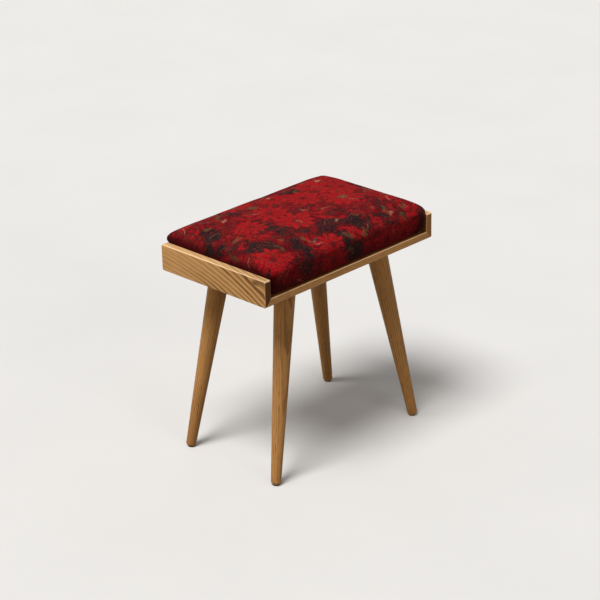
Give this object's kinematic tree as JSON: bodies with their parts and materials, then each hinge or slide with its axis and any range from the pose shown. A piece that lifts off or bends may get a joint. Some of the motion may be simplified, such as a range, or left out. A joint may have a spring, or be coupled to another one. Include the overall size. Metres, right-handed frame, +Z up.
{
  "type": "piano stool",
  "caption": "Low oak piano stool: a mitred tray on splayed, tapered turned legs, holding a thick upholstered pad in red floral woven cloth that lifts out.",
  "frame": {"origin": "on the floor, under the middle of the tray", "axes": "+Z up, +X along the stool's length to the right-hand end board, -Y towards the front"},
  "size_m": [0.47, 0.284, 0.475],
  "materials": {
    "oak": "oiled, satin",
    "beech": "bare",
    "plywood": "bare",
    "zinc_steel": "zinc plated",
    "staple_steel": "drawn wire",
    "felt": "pressed felt",
    "cover_fabric": "woven, matt",
    "foam": "open-cell",
    "wadding": "fluffy",
    "dust_cloth": "non-woven, matt"
  },
  "bodies": {
    "frame": {"seat_board": "oak", "left_end_board": "oak", "right_end_board": "oak", "left_mitre_biscuits": "beech", "right_mitre_biscuits": "beech", "front_left_leg": "oak", "front_left_hanger_bolt": "zinc_steel", "front_left_leg_plate": "zinc_steel", "front_left_plate_nut": "zinc_steel", "front_left_plate_screws": "zinc_steel", "front_left_foot_pad": "felt", "front_right_leg": "oak", "front_right_hanger_bolt": "zinc_steel", "front_right_leg_plate": "zinc_steel", "front_right_plate_nut": "zinc_steel", "front_right_plate_screws": "zinc_steel", "front_right_foot_pad": "felt", "back_left_leg": "oak", "back_left_hanger_bolt": "zinc_steel", "back_left_leg_plate": "zinc_steel", "back_left_plate_nut": "zinc_steel", "back_left_plate_screws": "zinc_steel", "back_left_foot_pad": "felt", "back_right_leg": "oak", "back_right_hanger_bolt": "zinc_steel", "back_right_leg_plate": "zinc_steel", "back_right_plate_nut": "zinc_steel", "back_right_plate_screws": "zinc_steel", "back_right_foot_pad": "felt"},
    "seat_pad": {"pad_board": "plywood", "pad_foam": "foam", "pad_wadding": "wadding", "pad_cover": "cover_fabric", "pad_dust_cover": "dust_cloth", "pad_staples": "staple_steel", "pad_pegs": "beech"}
  },
  "joints": [
    {"name": "pad_lift", "type": "slide", "parent": "frame", "child": "seat_pad", "axis": [0, 0, 1], "range_m": [0, 0.12]}
  ]
}
